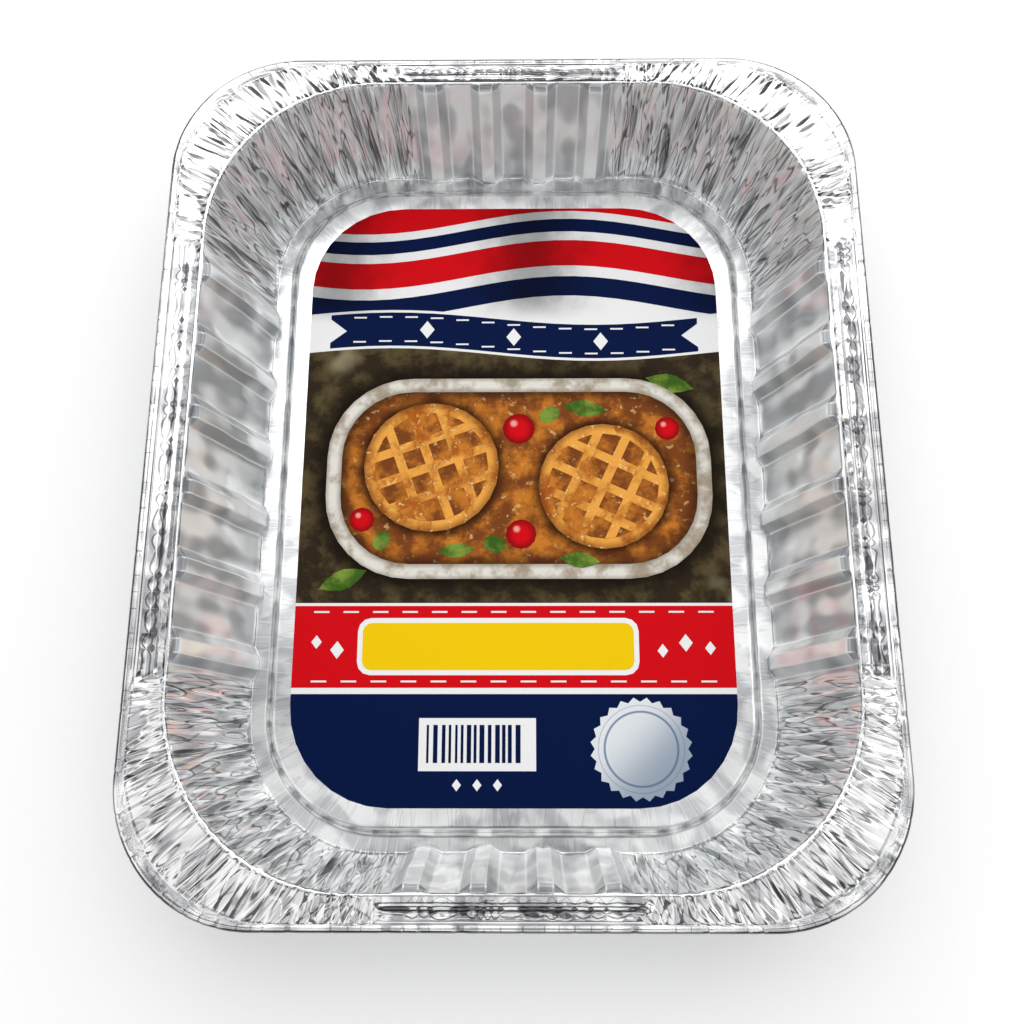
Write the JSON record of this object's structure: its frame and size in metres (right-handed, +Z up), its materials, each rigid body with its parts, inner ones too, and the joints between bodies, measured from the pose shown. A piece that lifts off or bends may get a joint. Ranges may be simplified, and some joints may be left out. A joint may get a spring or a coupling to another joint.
{
  "type": "foil roasting pan",
  "caption": "Rectangular foil roasting pan with ribbed sloping walls, pleated round corners, a flange with a rolled edge, and a printed card lying on its floor.",
  "frame": {"origin": "centre of the surface that the pan stands on, below the middle of its floor", "axes": "+X across the pan, +Y along its long side, +Z up out of its mouth"},
  "size_m": [0.2636, 0.325, 0.0504],
  "materials": {
    "foil": "bright",
    "card": "gloss",
    "print_red": "gloss ink",
    "print_navy": "gloss ink",
    "print_white": "gloss ink",
    "print_yellow": "gloss ink",
    "print_dark": "gloss ink",
    "print_cream": "gloss ink",
    "print_orange": "gloss ink",
    "print_brown": "gloss ink",
    "print_green": "gloss ink",
    "print_silver": "gloss ink"
  },
  "bodies": {
    "root": {"foil_pan": "foil", "label_sheet": "card", "print_red": "print_red", "print_navy": "print_navy", "print_white": "print_white", "print_yellow": "print_yellow", "print_dark": "print_dark", "print_cream": "print_cream", "print_orange": "print_orange", "print_brown": "print_brown", "print_green": "print_green", "print_silver": "print_silver"}
  },
  "joints": []
}
